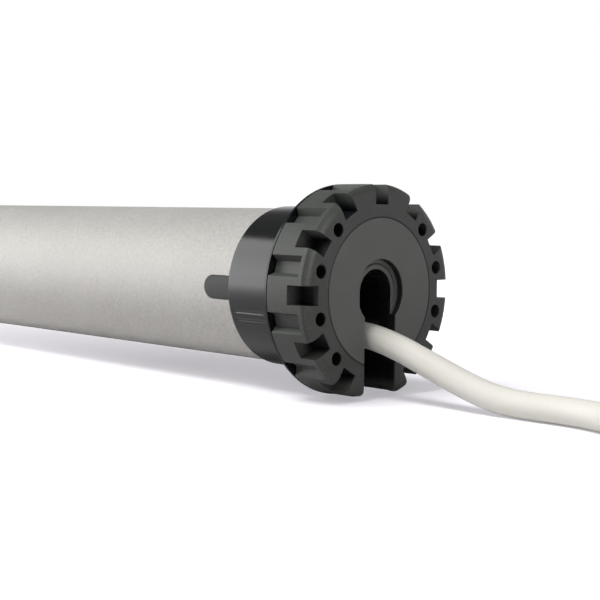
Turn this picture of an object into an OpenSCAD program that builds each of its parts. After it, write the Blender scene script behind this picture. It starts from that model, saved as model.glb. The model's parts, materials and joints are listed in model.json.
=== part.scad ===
// Tubular motor for a roller blind or shutter, as it lies on a table.
// X is the motor's axis. The head's face is at X = 0 and looks along +X; the tube runs to -X.
// Y is to the right of someone who looks at that face, and Z is up. Millimetres.

/* [Head] */
// Outer radius of the star-shaped head
head_r = 29.4; // [28.6:0.1:32]
// Length of the head along the axis, from the face to the rear of its flange
head_len = 15; // [14:0.5:20]
// Radius of the rounding that leads from the face to the rim
rim_round = 3.3; // [3:0.1:4]
// How far the rounding reaches in from the rim
rim_reach = 2.7; // [2:0.1:2.9]
// Width of a notch in the rim
notch_w = 5.2; // [4.4:0.1:6]
// Radius of the floor of the notches
notch_floor_r = 23.85; // [23:0.05:25]
// Depth of the notches along the axis
notch_len = 6.4; // [4:0.1:9]
// Radius of the circle that the mounting holes lie on
bolt_circle_r = 24; // [23.8:0.05:24.2]
// Diameter of a mounting hole
bolt_d = 3.75; // [3:0.05:4]
// Depth of a mounting hole
bolt_depth = 11.5; // [8:0.5:11.5]
// Thickness of the flange at the rear of the head
flange_t = 0.7; // [0.5:0.1:1.5]
// Width of the seam between the housing and the flange
seam_w = 0.3; // [0.2:0.1:0.6]
// Width of a pocket in the rim
pocket_w = 5.9; // [5:0.1:6.5]
// Wall between the face and a pocket
pocket_front = 2.7; // [2.4:0.1:3.5]
// Width of a pocket's floor, between its two slopes
land_w = 3.2; // [2:0.1:3.6]
// Depth of a pocket's floor under the rim
land_depth = 2.2; // [1.4:0.1:2.4]
// Height under the axis at which the two teeth beside the slot end
foot_flat = 27.9; // [27:0.1:28.5]
// Width of the cable slot
slot_w = 12.5; // [11:0.1:12.6]
// Chamfer of the slot's lower edges
slot_chamfer = 1.3; // [0.8:0.1:1.8]
// The same chamfer on the front lip
lip_chamfer = 0.7; // [0.3:0.1:1.5]

/* [Head plate] */
// Radius of the round plate in the face
plate_r = 20.4; // [19.6:0.1:20.8]
// Thickness of the plate
plate_t = 3.2; // [2.6:0.1:4]
// Radius of the round recess in the plate
recess_r = 9.1; // [8.2:0.1:11]
// Depth of the recess
recess_t = 2.0; // [1:0.1:2.2]
// Radius of the fine step in the recess's floor
step_r = 7.9; // [7.4:0.1:8.1]

/* [Crown] */
// Radius of the crown
crown_r = 23.15; // [22.8:0.05:23.8]
// Radius of the crown's collar
collar_r = 24.0; // [23.9:0.05:25]
// Width of the collar
collar_w = 5.6; // [3:0.1:8]
// Length of the crown
crown_len = 21.7; // [20:0.1:28]
// Radius of the neck that the crown runs on
neck_r = 20.3; // [19.8:0.1:20.6]
// Gap between the crown and the head's flange
crown_gap = 0.3; // [0.3:0.1:1]
// Diameter of the encoder's magnet
magnet_d = 5.2; // [3:0.1:5.4]
// Width of the gear inside the crown
crown_gear_w = 5; // [3.5:0.5:6]

/* [Tube] */
// Outer radius of the motor tube
tube_r = 22.5; // [22.3:0.1:22.7]
// Wall of the motor tube
tube_wall = 1.0; // [0.8:0.1:1]
// Width of the tongue that fills the tube's notch
tongue_w = 6.6; // [4:0.1:9]
// Length of the tongue
tongue_len = 10.4; // [7:0.1:13]
// Length of the plug inside the tube
plug_len = 20; // [18:1:30]
// Wall of the plug
plug_wall = 4.4; // [4:0.1:4.6]
// Diameter of the screws that hold the tube
tube_screw_d = 2.4; // [2:0.1:3]

/* [Electronics] */
// Length of the board carrier
carrier_len = 72; // [68:1:90]
// Thickness of a circuit board
board_t = 1.6; // [1:0.1:2]
// Height of the board's underside against the axis
board_z = -2; // [-4:0.5:-1]
// Length of the run capacitor
capacitor_len = 64; // [50:1:80]
// Radius of the run capacitor
capacitor_r = 15; // [12:0.5:16]
// Width of a rubber ring round the capacitor
rubber_w = 8; // [5:1:12]
// Radius of a motor lead
lead_r = 0.9; // [0.6:0.1:1.1]

/* [Motor] */
// Thickness of an endshield
shield_t = 8; // [7.5:0.5:10]
// Length of the stator core
stator_len = 62; // [50:1:90]
// Radius of the stator's bore
bore_r = 11; // [10.5:0.1:11.5]
// Air gap between rotor and stator
air_gap = 0.3; // [0.2:0.05:0.4]
// Length by which the winding stands out of the core
winding_out = 9; // [7:0.5:12]
// Slots of the stator
stator_slots = 12; // [6:2:12]
// Radius of the rotor shaft
shaft_r = 3; // [2.9:0.1:3.2]
// Radius of the shaft's end that carries the sun gear
shaft_end_r = 1.6; // [1.4:0.1:1.7]
// Outer radius of a ball bearing
bearing_r = 8.5; // [8.2:0.1:9]
// Width of a ball bearing
bearing_w = 6; // [5:0.5:6.5]

/* [Brake] */
// Length of the brake
brake_len = 28; // [26:1:36]
// Stroke by which the armature releases the brake
brake_stroke = 0.4; // [0.2:0.05:0.5]
// Thickness of the armature
armature_t = 3; // [2.5:0.1:3.5]
// Thickness of the brake disc
disc_t = 4; // [3:0.1:5]
// Turns of the brake spring
spring_turns = 5; // [4:1:6]
// Radius of the brake spring's wire
spring_wire_r = 0.6; // [0.4:0.05:0.7]

/* [Gearbox] */
// Thickness of the ring gear outside its pitch circle, which sets the gears' module
ring_wall = 3.87; // [3.75:0.01:4.2]
// Teeth of a sun gear
sun_teeth = 12; // [12:3:15]
// Teeth of a planet gear
planet_teeth = 21; // [15:6:21]
// Widths of the planet gears in the three stages
planet_w_1 = 8; // [6:0.5:10]
planet_w_2 = 9; // [7:0.5:12]
planet_w_3 = 12; // [9:0.5:16]
// Thickness of the carrier plates
carrier_t = 3.2; // [2.5:0.1:4]
// Radius of a planet pin
pin_r = 2.0; // [1.5:0.1:2.2]
// Tooth thinning of each gear, which gives the play in the mesh
tooth_thinning = 0.08; // [0.06:0.01:0.12]

/* [Output] */
// Radius of the output shaft
output_r = 7; // [6.5:0.1:7.5]
// Distance across the flats of the output shaft
output_flats = 11; // [10.5:0.1:11.5]
// Length of the end cap inside the tube
end_cap_len = 18; // [16:0.5:24]
// Thickness of the end cap's flange
end_flange_t = 2.5; // [2:0.1:4]
// Distance across the flats of the octagonal drive wheel
wheel_flats = 58.8; // [58.4:0.1:64]
// Width of the drive wheel
wheel_w = 26; // [18:1:40]
// Wall of the drive wheel's rim
wheel_wall = 3; // [2.4:0.1:4]
// Radius of the drive wheel's hub
hub_r = 12; // [11:0.5:15]

/* [Cable] */
// Diameter of the supply cable
cable_d = 7.2; // [6.4:0.1:7.2]
// Width of the cable connector's body
connector_w = 11.2; // [9.6:0.1:11.6]
// Length of the connector's body
connector_len = 10; // [8:0.5:11]
// Width of a coil tie
tie_w = 4; // [3:0.5:6]

/* [Hidden] */
$fn = 64;

// Clearances: between fixed round pieces, in a running fit, beside a moving face
seat = 0.08;
run_fit = 0.05;
run_gap = 0.3;
thin = 0.02;
over = 1;

// The surface that the motor lies on
floor_z = -29.4;

// Head, from the face to the tube
tooth_step = 30;
notch_angles = [for (k = [0:11]) if (k != 9) k * tooth_step];
hole_angles = [15, 45, 135, 165, 195, 225, 315, 345];
pocket_angles = [for (k = [0:11]) if (k != 8 && k != 9) (k + 0.5) * tooth_step];
x_housing_rear = -head_len;
x_flange = x_housing_rear + flange_t;
rim_drop = rim_round - sqrt(rim_round * rim_round - rim_reach * rim_reach);
seam_depth = 3;
pocket_out = land_w / 2 + (pocket_w - land_w) / 2 * (land_depth + over) / land_depth;
web_t = 3;
x_web_rear = -plate_t - web_t;
spigot_r = plate_r - 2.4;
cable_z = -12;
channel_z = cable_z - 4.8;

// Crown and encoder
x_crown_front = x_housing_rear - crown_gap;
x_crown_rear = x_crown_front - crown_len;
x_neck_end = x_crown_rear - run_gap;
x_crown_gear = x_crown_rear + crown_gear_w;
crown_bore_r = neck_r + seat;
crown_teeth = 49;
encoder_teeth = 14;
encoder_module = 0.8;
crown_pitch_r = crown_teeth * encoder_module / 2;
encoder_pitch_r = encoder_teeth * encoder_module / 2;
encoder_z = crown_pitch_r - encoder_pitch_r;
gear_add = 0.8;
gear_ded = 1.1;
gear_neck_r = crown_pitch_r - gear_add * encoder_module - 0.6;
encoder_w = crown_gear_w - 0.8;
encoder_shaft_r = 1;
encoder_reach = 5.6;

// Plug in the tube
tube_in_r = tube_r - tube_wall;
plug_r = tube_in_r - seat;
plug_in_r = plug_r - plug_wall;
plug_front_t = 3;
x_plug_wall = x_neck_end - plug_front_t;
x_plug_end = x_neck_end - plug_len;
tie_head_r = 2.7;
tie_head_gap = 0.82;
tie_circle_r = plug_in_r - tie_head_r - tie_head_gap;
tie_angles = [25, 155, 205, 335];
tie_r = 1.45;
x_magnet = x_plug_wall - 0.5;
magnet_t = 3;
x_sensor = x_magnet - magnet_t - 0.9;
sensor_t = 1.2;
tube_screw_angles = [45, 315];

// Electronics bay
bay_gap = 2;
x_carrier = x_plug_end - bay_gap;
x_carrier_end = x_carrier - carrier_len;
carrier_r = tube_in_r - seat;
carrier_wall = 1.6;
board_gap = 1.12;
board_half = sqrt(pow(carrier_r - carrier_wall, 2) - pow(board_z, 2)) - board_gap;
small_can_r = 3.5;
small_can_y = board_half - 6.2;
relay_w = 15;
relay_y = small_can_y - small_can_r - 1.4 - relay_w / 2;
x_capacitor = x_carrier_end - 6;
x_capacitor_end = x_capacitor - capacitor_len;
ring_inset = 9;
lead_angles = [60, 90, 120];
lead_circle_r = carrier_r - 3.02;

// Motor
x_shield = x_capacitor_end - 7;
x_shield_end = x_shield - shield_t;
x_core = x_shield_end - 0.4 - winding_out;
x_core_end = x_core - stator_len;
x_rear_shield = x_core_end - winding_out - 0.4;
x_rear_shield_end = x_rear_shield - shield_t;
part_r = tube_in_r - seat;
slot_in_r = bore_r + 1.6;
slot_out_r = part_r - 2.82;
slot_wide = 3.2;
rotor_r = bore_r - air_gap;
bearing_in_r = shaft_r + 1.6;
bearing_out_r = bearing_r - 1.6;
ball_r = (bearing_out_r - bearing_in_r) / 2 + 0.35;
ball_circle_r = (bearing_out_r + bearing_in_r) / 2;
bearing_xs = [x_shield - 1, x_rear_shield - 1];

// Brake
x_brake = x_rear_shield_end;
x_brake_end = x_brake - brake_len;
brake_in_r = part_r - 2;
brake_back_t = 3.5;
x_disc_end = x_brake_end + brake_back_t + 0.1;
x_disc = x_disc_end + disc_t;
x_armature_end = x_disc + 0.1;
x_armature = x_armature_end + armature_t;
x_coil_face = x_armature + brake_stroke + 0.2;
coil_back_t = 1.5;
spring_r = shaft_r + 3.8;
x_spring = x_brake - coil_back_t;
x_spring_end = x_armature + brake_stroke + 0.05;

// Gearbox: each stage is a row of planets and the carrier plate behind it
x_ring = x_brake_end;
stage_gap = 0.4;
planet_w = [planet_w_1, planet_w_2, planet_w_3];
x_planet_1 = x_ring - 2;
x_plate_1 = x_planet_1 - planet_w_1 - stage_gap;
x_planet_2 = x_plate_1 - carrier_t - stage_gap;
x_plate_2 = x_planet_2 - planet_w_2 - stage_gap;
x_planet_3 = x_plate_2 - carrier_t - stage_gap;
x_plate_3 = x_planet_3 - planet_w_3 - stage_gap;
x_planet = [x_planet_1, x_planet_2, x_planet_3];
x_plate = [x_plate_1, x_plate_2, x_plate_3];
output_plate_t = carrier_t + 1.3;
x_ring_end = x_plate_3 - output_plate_t - stage_gap;
ring_teeth = sun_teeth + 2 * planet_teeth;
gear_module = 2 * (part_r - ring_wall) / ring_teeth;
sun_pitch_r = sun_teeth * gear_module / 2;
planet_pitch_r = planet_teeth * gear_module / 2;
ring_pitch_r = ring_teeth * gear_module / 2;
planet_orbit = sun_pitch_r + planet_pitch_r;
planet_angles = [0, 120, 240];
pressure_angle = 25;
carrier_r_out = ring_pitch_r - gear_add * gear_module - 0.5;
ring_end_r = ring_pitch_r + gear_ded * gear_module + 0.3;

// Output end
x_tube_end = x_ring_end - end_cap_len;
x_cap_out = x_tube_end - end_flange_t;
bush_wall = 2.5;
clip_t = 1.2;
x_clip = x_cap_out - 0.6;
x_wheel = x_clip - clip_t - 0.6;
x_wheel_end = x_wheel - wheel_w;
wheel_recess = 6;
x_shaft_end = x_wheel_end + wheel_recess;
end_screw_angles = [45, 135, 225, 315];
wheel_ribs = 8;

// Cable: the route of the free stretch, chosen by hand, and the coil at its end
x_cable = -14;
cable_r = cable_d / 2;
tie_t = 0.6;
tie_slack = 0.7;
coil_z = -24.9;
coil_centre = [121.9, 21.2];
coil_r = 46.6;
coil_pitch = 7.8;
layer_turns = 2.25;
route = [
    [-14, 0, -12], [-8, 0, -12], [-4, 0, -12.3], [0, 0.1, -13], [4, 0.3, -14],
    [8, 0.5, -15.2], [13, 0.8, -17], [19, 1.2, -19.2], [25, 1.6, -21.4], [31, 2, -23.4],
    [37, 2.5, -24.9], [43, 3, -25.6], [49, 3.3, -25.8], [55.1, 3.6, -25.8], [60.3, 3.5, -25.8],
    [65.5, 2.8, -25.8], [70.5, 1.3, -25.7], [75.2, -0.8, -25.4], [79.7, -3.5, -25], [83.7, -6.8, -24.9]
];
coil_start = -135;
layer_step = 7.7;
turn_rings = 24;
coil_steps = 194;
coil_turns = coil_steps / turn_rings;
core_colours = ["SaddleBrown", "SteelBlue", "DimGray", "YellowGreen"];
core_r = 1.3;
core_len = 34;
core_spread = 4.8;
core_bend = 16;
ferrule_r = 1.6;
ferrule_len = 9;

// A frame whose x and y are the row's Y and Z, and whose z is the motor's axis
module face(x = 0) translate([x, 0, 0]) rotate([90, 0, 90]) children();

// A bar along the axis from x_front back to x_back
module bar(x_front, x_back) face(x_back) linear_extrude(x_front - x_back) children();

// A round bar or ring along the axis
module ring(x_front, x_back, r_out, r_in = 0) {
    bar(x_front, x_back) difference() {
        circle(r_out);
        if (r_in > 0) circle(r_in);
    }
}

// A box given by its radial, tangential and axial ends, turned to an angle about the axis
module block_at(angle, r_in, r_out, t_low, t_high, x_front, x_back) {
    rotate([angle, 0, 0]) translate([x_back, r_in, t_low])
        cube([x_front - x_back, r_out - r_in, t_high - t_low]);
}

// A pin along the axis, off centre at a radius and an angle
module pin_at(angle, orbit, r, x_front, x_back) {
    bar(x_front, x_back) rotate(angle) translate([orbit, 0]) circle(r);
}

// The slot's outline: an arch about the axis, open downwards to a depth
module arch(width, bottom) {
    circle(width / 2);
    translate([-width / 2, bottom]) square([width, -bottom]);
}

// Points of a spur gear whose first tooth points along x. Shift is taken off each tooth.
function inv(a) = tan(a) - a * PI / 180;
function polar(r, a) = [r * cos(a), r * sin(a)];
function flank_angle(r, rb, half) = half - (r > rb ? inv(acos(rb / r)) * 180 / PI : 0);
function gear_points(teeth, m, add, ded, shift) =
    let (rp = teeth * m / 2, rb = rp * cos(pressure_angle), tip = rp + add * m,
        root = rp - ded * m, start = max(rb, root + 0.05),
        half = (PI / (2 * teeth) - shift / (2 * rp) + inv(pressure_angle)) * 180 / PI,
        radii = [start, start + (tip - start) * 0.4, start + (tip - start) * 0.75, tip])
    [for (k = [0:teeth - 1])
        let (middle = k * 360 / teeth)
        each concat(
            [polar(root, middle - flank_angle(start, rb, half))],
            [for (r = radii) polar(r, middle - flank_angle(r, rb, half))],
            [for (i = [3:-1:0]) polar(radii[i], middle + flank_angle(radii[i], rb, half))],
            [polar(root, middle + flank_angle(start, rb, half))])];

// An outer gear, and the space that a ring gear leaves
module gear_shape(teeth, m) polygon(gear_points(teeth, m, gear_add, gear_ded, tooth_thinning));
module ring_space(teeth, m) polygon(gear_points(teeth, m, gear_ded, gear_add, -tooth_thinning));

// A tube swept along a path that is never upright, with flat ends
function unit(v) = v / norm(v);
function heading(p, i) = unit(p[min(i + 1, len(p) - 1)] - p[max(i - 1, 0)]);
function around(centre, r, right, up, sides) = [for (j = [0:sides - 1])
    centre + r * (-sin(j * 360 / sides) * right + cos(j * 360 / sides) * up)];
function tube_faces(n, sides) = concat(
    [[for (j = [sides - 1:-1:0]) j]],
    [[for (j = [0:sides - 1]) (n - 1) * sides + j]],
    [for (i = [0:n - 2], j = [0:sides - 1])
        let (k = (j + 1) % sides, a = i * sides, b = a + sides)
        each [[a + j, a + k, b + j], [a + k, b + k, b + j]]]);
module sweep(p, r, sides) {
    points = [for (i = [0:len(p) - 1])
        let (t = heading(p, i), right = unit(cross(t, [0, 0, 1])))
        each around(p[i], r, right, cross(right, t), sides)];
    polyhedron(points, tube_faces(len(p), sides));
}

module head_housing() {
    color([0.3, 0.31, 0.3]) difference() {
        face() rotate_extrude() difference() {
            union() {
                translate([0, x_flange]) square([head_r, -x_flange - rim_drop]);
                translate([0, x_flange]) square([head_r - rim_reach, -x_flange]);
                intersection() {
                    translate([head_r - rim_reach, -rim_round]) circle(rim_round);
                    translate([head_r - rim_reach - thin, -rim_drop - thin])
                        square([rim_reach + thin, rim_drop + 2 * thin]);
                }
            }
            translate([-1, -plate_t]) square([plate_r + seat + 1, plate_t + over]);
            translate([-1, -head_len - over]) square([spigot_r + seat + 1, head_len + over + x_web_rear]);
            translate([head_r - seam_depth, x_flange - over]) square([seam_depth + over, seam_w + over]);
        }
        bar(over, x_flange - over) arch(slot_w, -head_r - over);
        for (a = notch_angles)
            block_at(a, notch_floor_r, head_r + over, -notch_w / 2, notch_w / 2, over, -notch_len);
        for (a = hole_angles) pin_at(a, bolt_circle_r, bolt_d / 2, over, -bolt_depth);
        for (a = pocket_angles)
            rotate([a, 0, 0]) bar(-pocket_front, x_flange - over) polygon([
                [head_r - land_depth, -land_w / 2], [head_r - land_depth, land_w / 2],
                [head_r + over, pocket_out], [head_r + over, -pocket_out]]);
        translate([x_flange - over, -slot_w, -head_r - over])
            cube([2 * over - x_flange, 2 * slot_w, head_r + over - foot_flat]);
        for (side = [-1, 1]) {
            slot_bevel(side, slot_chamfer, -pocket_front, x_flange - over);
            slot_bevel(side, lip_chamfer, over, -pocket_front - thin);
        }
        for (a = tie_angles) pin_at(a, tie_circle_r, tie_r + thin, -plate_t + over, x_web_rear - over);
    }
}

module slot_bevel(side, size, x_front, x_back) {
    y = side * (slot_w / 2 - thin);
    z = -foot_flat - thin;
    bar(x_front, x_back) polygon([[y, z], [y + side * size, z], [y, z + size]]);
}

module head_plate() {
    color([0.29, 0.3, 0.29]) difference() {
        ring(0, -plate_t, plate_r);
        ring(over, -recess_t, recess_r);
        ring(over, -recess_t - 0.25, step_r, step_r - 0.35);
        bar(over, -plate_t - over) arch(slot_w, -plate_r - over);
    }
}

module head_core() {
    color([0.24, 0.25, 0.25]) difference() {
        union() {
            ring(x_web_rear, x_flange, spigot_r);
            ring(x_flange, x_housing_rear, head_r);
            ring(x_housing_rear, x_crown_gear + run_gap + 0.2, neck_r);
            ring(x_crown_gear + run_gap + 0.2, x_neck_end, gear_neck_r);
        }
        bar(x_web_rear + over, x_neck_end - over) arch(slot_w, channel_z);
        bar(x_web_rear + over, x_flange) arch(slot_w, -head_r);
        pin_at(90, encoder_z, encoder_pitch_r + gear_add * encoder_module + 0.5,
            x_crown_gear, x_neck_end - over);
        pin_at(90, encoder_z, encoder_shaft_r + run_fit, x_crown_gear + encoder_reach + 0.4, x_neck_end);
        for (a = tie_angles)
            pin_at(a, tie_circle_r, tie_r + seat, x_web_rear + over, x_neck_end - over);
    }
}

module tube_plug() {
    color([0.27, 0.28, 0.28]) difference() {
        union() {
            ring(x_neck_end, x_plug_end, plug_r);
            intersection() {
                ring(x_neck_end, x_neck_end - tongue_len, tube_r, plug_r - over);
                rotate([90, 0, 0]) linear_extrude(tube_r + over) union() {
                    translate([x_neck_end - tongue_len + tongue_w / 2, 0]) circle(tongue_w / 2);
                    translate([x_neck_end - tongue_len + tongue_w / 2, -tongue_w / 2])
                        square([tongue_len - tongue_w / 2, tongue_w]);
                }
            }
        }
        ring(x_plug_wall, x_plug_end - over, plug_in_r);
        pin_at(90, encoder_z, encoder_shaft_r + run_fit, x_neck_end + over, x_plug_wall - over);
        pin_at(90, encoder_z, magnet_d / 2 + run_gap, x_plug_wall, x_magnet - magnet_t - run_gap);
        for (a = tie_angles)
            pin_at(a, tie_circle_r, tie_r + seat, x_neck_end + over, x_plug_wall - over);
        for (a = tube_screw_angles)
            rotate([a, 0, 0]) translate([x_neck_end - plug_len * 0.6, 0, 0]) rotate([-90, 0, 0])
                cylinder(h = tube_r, r = tube_screw_d / 2 + thin);
    }
}

module head_screws() {
    color("silver") for (a = tie_angles) {
        pin_at(a, tie_circle_r, tie_r, -plate_t - 0.3, x_plug_wall);
        difference() {
            pin_at(a, tie_circle_r, tie_head_r, x_plug_wall, x_plug_wall - 2.2);
            pin_at(a, tie_circle_r, 1.2, x_plug_wall - 1, x_plug_wall - 2.2 - over);
        }
    }
}

module crown() {
    color([0.2, 0.21, 0.21]) difference() {
        face() rotate_extrude() polygon([
            [crown_bore_r, x_crown_rear], [crown_r - 0.5, x_crown_rear],
            [crown_r, x_crown_rear + 0.5], [crown_r, x_crown_front - collar_w - 0.9],
            [crown_r + 0.25, x_crown_front - collar_w - 0.35],
            [collar_r - 0.3, x_crown_front - collar_w], [collar_r, x_crown_front - collar_w + 0.4],
            [collar_r, x_crown_front - 0.4], [collar_r - 0.4, x_crown_front],
            [crown_bore_r, x_crown_front]]);
        for (a = [196, 202])
            block_at(a, crown_r - 0.4, crown_r + over, -0.45, 0.45,
                x_crown_front - collar_w - 2.1, x_crown_rear + 2);
    }
    color([0.2, 0.21, 0.21]) bar(x_crown_gear - run_gap, x_crown_rear) difference() {
        circle(crown_bore_r + over);
        rotate(90) ring_space(crown_teeth, encoder_module);
    }
}

module encoder_gear() {
    x_gear = x_crown_gear - 0.6;
    color("ivory") {
        bar(x_gear, x_gear - encoder_w) translate([0, encoder_z]) rotate(90)
            gear_shape(encoder_teeth, encoder_module);
        pin_at(90, encoder_z, encoder_shaft_r, x_crown_gear + encoder_reach, x_sensor + 0.4);
    }
}

module encoder_magnet() {
    color("dimgray") difference() {
        pin_at(90, encoder_z, magnet_d / 2, x_magnet, x_magnet - magnet_t);
        pin_at(90, encoder_z, encoder_shaft_r + thin, x_magnet + over, x_magnet - magnet_t - over);
    }
}

module sensor_board() {
    color("darkgreen") {
        difference() {
            ring(x_sensor, x_sensor - sensor_t, plug_in_r - seat);
            bar(x_sensor + over, x_sensor - sensor_t - over)
                translate([-6, -plug_in_r]) square([12, 9]);
        }
    }
    color("black") bar(x_sensor - sensor_t, x_sensor - sensor_t - 1.2)
        translate([-2.5, encoder_z - 6]) square([5, 4]);
}

module cable_connector() {
    x_body = x_neck_end + connector_len;
    color("whitesmoke") {
        bar(x_body, x_neck_end) translate([-connector_w / 2, cable_z - 4.6])
            square([connector_w, 9.2]);
        translate([x_body, 0, cable_z]) rotate([0, 90, 0])
            cylinder(h = x_cable - x_body, r1 = 4.5, r2 = cable_r + 0.3);
    }
}

module supply_cable() color([0.9, 0.89, 0.85]) sweep(route, cable_r, 10);

// Coil: it winds in and out by turns, a layer higher each time.
// Each climb takes the half turn round the place where it turns back.
function smooth(t) = let (c = min(max(t, 0), 1)) c * c * (3 - 2 * c);
function total(v, i = 0) = i < len(v) ? v[i] + total(v, i + 1) : 0;
function coil_radius(t) = let (layer = floor(t / layer_turns), done = t - layer * layer_turns)
    coil_r - coil_pitch * (layer % 2 == 0 ? done : layer_turns - done);
function coil_height(t) = coil_z
    + layer_step * total([for (k = [1:3]) smooth((t - k * layer_turns + 0.25) * 2)]);
function coil_point(t) = [
    coil_centre[0] + coil_radius(t) * cos(coil_start + 360 * t),
    coil_centre[1] + coil_radius(t) * sin(coil_start + 360 * t),
    coil_height(t)
];
coil_loop = [for (i = [0:coil_steps]) coil_point(i / turn_rings)];
coil_end = coil_point(coil_turns);
coil_end_way = unit([for (k = [0:1]) (coil_end - coil_point(coil_turns - 0.01))[k]]);
coil_path = concat([route[len(route) - 1]], coil_loop,
    [coil_end + cable_d * [coil_end_way[0], coil_end_way[1], 0]]);

// Least distance between turns, less the cable's diameter
coil_gap = min([for (i = [0:coil_steps - 12], j = [i + 12:coil_steps])
    norm(coil_loop[i] - coil_loop[j])]) - cable_d;
coil_run = [for (i = [0:coil_steps - 1]) norm(coil_loop[i + 1] - coil_loop[i])];
route_run = [for (i = [0:len(route) - 2]) norm(route[i + 1] - route[i])];
cable_length = total(coil_run) + total(route_run) + 2 * cable_d;
echo(coil_gap = coil_gap, cable_length = cable_length);

module cable_coil() color([0.9, 0.89, 0.85]) sweep(coil_path, cable_r, 6);

// Flat ties round the coil's two sides, each as wide and as high as the strands that it holds
module coil_ties() color("black") for (angle = [45, 195]) {
    first = (angle - coil_start) / 360 - floor((angle - coil_start) / 360);
    strands = [for (t = [first:coil_turns]) t];
    inner = min([for (t = strands) coil_radius(t)]) - cable_r - tie_slack;
    outer = max([for (t = strands) coil_radius(t)]) + cable_r + tie_slack;
    high = max([for (t = strands) coil_height(t)]) + cable_r + tie_slack + tie_t;
    translate([coil_centre[0], coil_centre[1], 0]) rotate(angle) translate([0, tie_w / 2, 0])
        rotate([90, 0, 0]) linear_extrude(tie_w) difference() {
            translate([inner - tie_t, floor_z])
                square([outer - inner + 2 * tie_t, high - floor_z]);
            translate([inner, floor_z + tie_t])
                square([outer - inner, high - floor_z - 2 * tie_t]);
        }
}

// Four cores fan out of the sheath's end and lie across the coil's third layer, each with a ferrule
module cable_cores() {
    start = coil_path[len(coil_path) - 1];
    way = [coil_end_way[0], coil_end_way[1], 0];
    across = [-way[1], way[0], 0];
    z_lying = coil_z + 2 * layer_step + cable_r + ferrule_r + 0.3;
    drop = start[2] - z_lying;
    for (k = [0:3]) {
        aside = k < 2 ? -1.5 : 1.5;
        above = k == 0 || k == 3 ? -1.5 : 1.5;
        path = [for (i = [0:8])
            let (s = i / 8, fan = smooth(s * 1.6), fall = smooth((s - 0.3) / 0.7))
            start + way * core_len * s
                + across * (aside * (1 - fan) + (k - 1.5) * core_spread * fan + core_bend * s * s)
                + [0, 0, above * (1 - fall) - drop * fall]];
        color(core_colours[k]) sweep(path, core_r, 6);
        color("silver") translate(path[8]) rotate([0, 90, atan2(path[8][1] - path[7][1],
            path[8][0] - path[7][0])]) cylinder(h = ferrule_len, r = ferrule_r);
    }
}

module motor_tube() {
    play = 0.15;
    color([0.8, 0.79, 0.76]) difference() {
        ring(x_neck_end, x_tube_end, tube_r, tube_in_r);
        rotate([90, 0, 0]) linear_extrude(tube_r + over) {
            translate([x_neck_end - tongue_len + tongue_w / 2, 0]) circle(tongue_w / 2 + play);
            translate([x_neck_end - tongue_len + tongue_w / 2, -tongue_w / 2 - play])
                square([tongue_len - tongue_w / 2 + over, tongue_w + 2 * play]);
        }
        for (a = tube_screw_angles) tube_screw_hole(a, x_neck_end - plug_len * 0.6);
        for (a = end_screw_angles) tube_screw_hole(a, x_tube_end + end_cap_len / 2);
    }
}

module tube_screw_hole(angle, x) {
    rotate([angle, 0, 0]) translate([x, tube_in_r - over, 0]) rotate([-90, 0, 0])
        cylinder(h = tube_wall + 2 * over, r = tube_screw_d / 2 + 0.1);
}

module tube_screw(angle, x) {
    rotate([angle, 0, 0]) translate([x, 0, 0]) rotate([-90, 0, 0]) {
        translate([0, 0, tube_in_r - 3.5]) cylinder(h = tube_wall + 3.6, r = tube_screw_d / 2);
        translate([0, 0, tube_r + thin]) difference() {
            cylinder(h = 0.9, r = tube_screw_d);
            translate([-tube_screw_d, -0.3, 0.5]) cube([2 * tube_screw_d, 0.6, over]);
        }
    }
}

module tube_screws() {
    color("silver") {
        for (a = tube_screw_angles) tube_screw(a, x_neck_end - plug_len * 0.6);
        for (a = end_screw_angles) tube_screw(a, x_tube_end + end_cap_len / 2);
    }
}

// Electronics
module board_carrier() {
    color("gray") difference() {
        ring(x_carrier, x_carrier_end, carrier_r, 0);
        bar(x_carrier + over, x_carrier_end - over) difference() {
            union() {
                circle(carrier_r - carrier_wall);
                translate([-tube_r, board_z]) square([2 * tube_r, tube_r - board_z]);
            }
            for (side = [-1, 1]) translate([side * (board_half - 0.2) - 1.6, board_z - 5])
                square([3.2, 5]);
        }
    }
}

module control_board() {
    color("darkgreen") bar(x_carrier - 1, x_carrier_end + 1)
        translate([-board_half, board_z]) square([2 * board_half, board_t]);
}

board_top = board_z + board_t;

module part_on_board(x_front, length, y_middle, width, height) {
    bar(x_front, x_front - length) translate([y_middle - width / 2, board_top])
        square([width, height]);
}

module relays() {
    color("royalblue") for (k = [0:1]) part_on_board(x_carrier - 5 - k * 19, 18, relay_y, relay_w, 14);
}

module power_transformer() {
    x = x_carrier_end + 25;
    color("gold") part_on_board(x - 4, 11, 0, 21, 13);
    color("dimgray") {
        part_on_board(x, 4, 0, 15, 11);
        part_on_board(x - 15, 4, 0, 15, 11);
    }
}

module board_capacitors() {
    color("black") for (k = [0:2]) translate([x_carrier - 10 - k * 14, small_can_y, board_top])
        cylinder(h = 10, r = small_can_r);
}

module run_capacitor() {
    color("whitesmoke") {
        ring(x_capacitor, x_capacitor_end, capacitor_r);
        for (y = [-4, 4]) bar(x_capacitor + 4, x_capacitor - over) translate([y - 2, -0.4])
            square([4, 0.8]);
    }
}

module capacitor_rings() {
    color([0.15, 0.15, 0.15])
        for (x = [x_capacitor - ring_inset, x_capacitor_end + ring_inset + rubber_w])
            bar(x, x - rubber_w) difference() {
                circle(tube_in_r - seat);
                circle(capacitor_r + seat);
                lead_notches();
            }
}

module lead_notches() {
    for (a = lead_angles) rotate(a) {
        translate([lead_circle_r, 0]) circle(lead_r + seat);
        translate([lead_circle_r, -lead_r - seat]) square([tube_r - lead_circle_r, 2 * (lead_r + seat)]);
    }
}

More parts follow.
